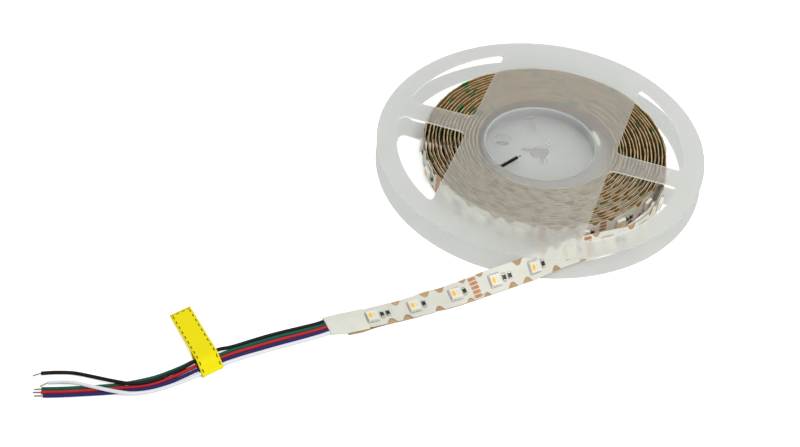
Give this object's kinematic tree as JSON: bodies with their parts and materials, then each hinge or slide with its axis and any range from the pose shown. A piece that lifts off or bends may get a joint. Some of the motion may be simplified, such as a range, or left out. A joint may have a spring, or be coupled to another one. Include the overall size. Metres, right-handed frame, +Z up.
{
  "type": "led strip light reel",
  "caption": "Flexible LED strip light wound on a frosted plastic reel, its free end sleeved to loose lead wires with a folded yellow flag label",
  "frame": {"origin": "bottom centre of the reel, the strip's free end and its sleeve, without the loose wires", "axes": "+Z up along the reel's axis, +X to the right in the picture, +Y away from the viewer"},
  "size_m": [0.3103, 0.2624, 0.0136],
  "materials": {
    "reel_plastic": "frosted translucent, satin",
    "circuit": "satin white lacquer",
    "liner": "waxed paper",
    "led": "satin",
    "resistor": "satin",
    "sleeve": "soft matte",
    "label": "satin",
    "tinned": "tinned",
    "wire_black": "satin",
    "wire_green": "satin",
    "wire_red": "satin",
    "wire_blue": "satin",
    "wire_white": "satin"
  },
  "bodies": {
    "root": {"lower_reel_half": "reel_plastic", "upper_reel_half": "reel_plastic", "led_strip": "circuit", "tail_liner": "liner", "led_1": "led", "led_2": "led", "led_3": "led", "led_4": "led", "led_5": "led", "led_6": "led", "led_7": "led", "led_8": "led", "led_9": "led", "resistor_1": "resistor", "resistor_2": "resistor", "resistor_3": "resistor", "resistor_4": "resistor", "resistor_5": "resistor", "resistor_6": "resistor", "resistor_7": "resistor", "resistor_8": "resistor", "resistor_9": "resistor", "resistor_10": "resistor", "resistor_11": "resistor", "resistor_12": "resistor", "end_sleeve": "sleeve", "inner_sleeve": "sleeve", "wire_black": "wire_black", "bare_end_black": "tinned", "inner_wire_black": "wire_black", "wire_green": "wire_green", "bare_end_green": "tinned", "inner_wire_green": "wire_green", "wire_red": "wire_red", "bare_end_red": "tinned", "inner_wire_red": "wire_red", "wire_blue": "wire_blue", "bare_end_blue": "tinned", "inner_wire_blue": "wire_blue", "wire_white": "wire_white", "bare_end_white": "tinned", "inner_wire_white": "wire_white", "bare_end_inner": "tinned", "wire_label": "label"}
  },
  "joints": []
}
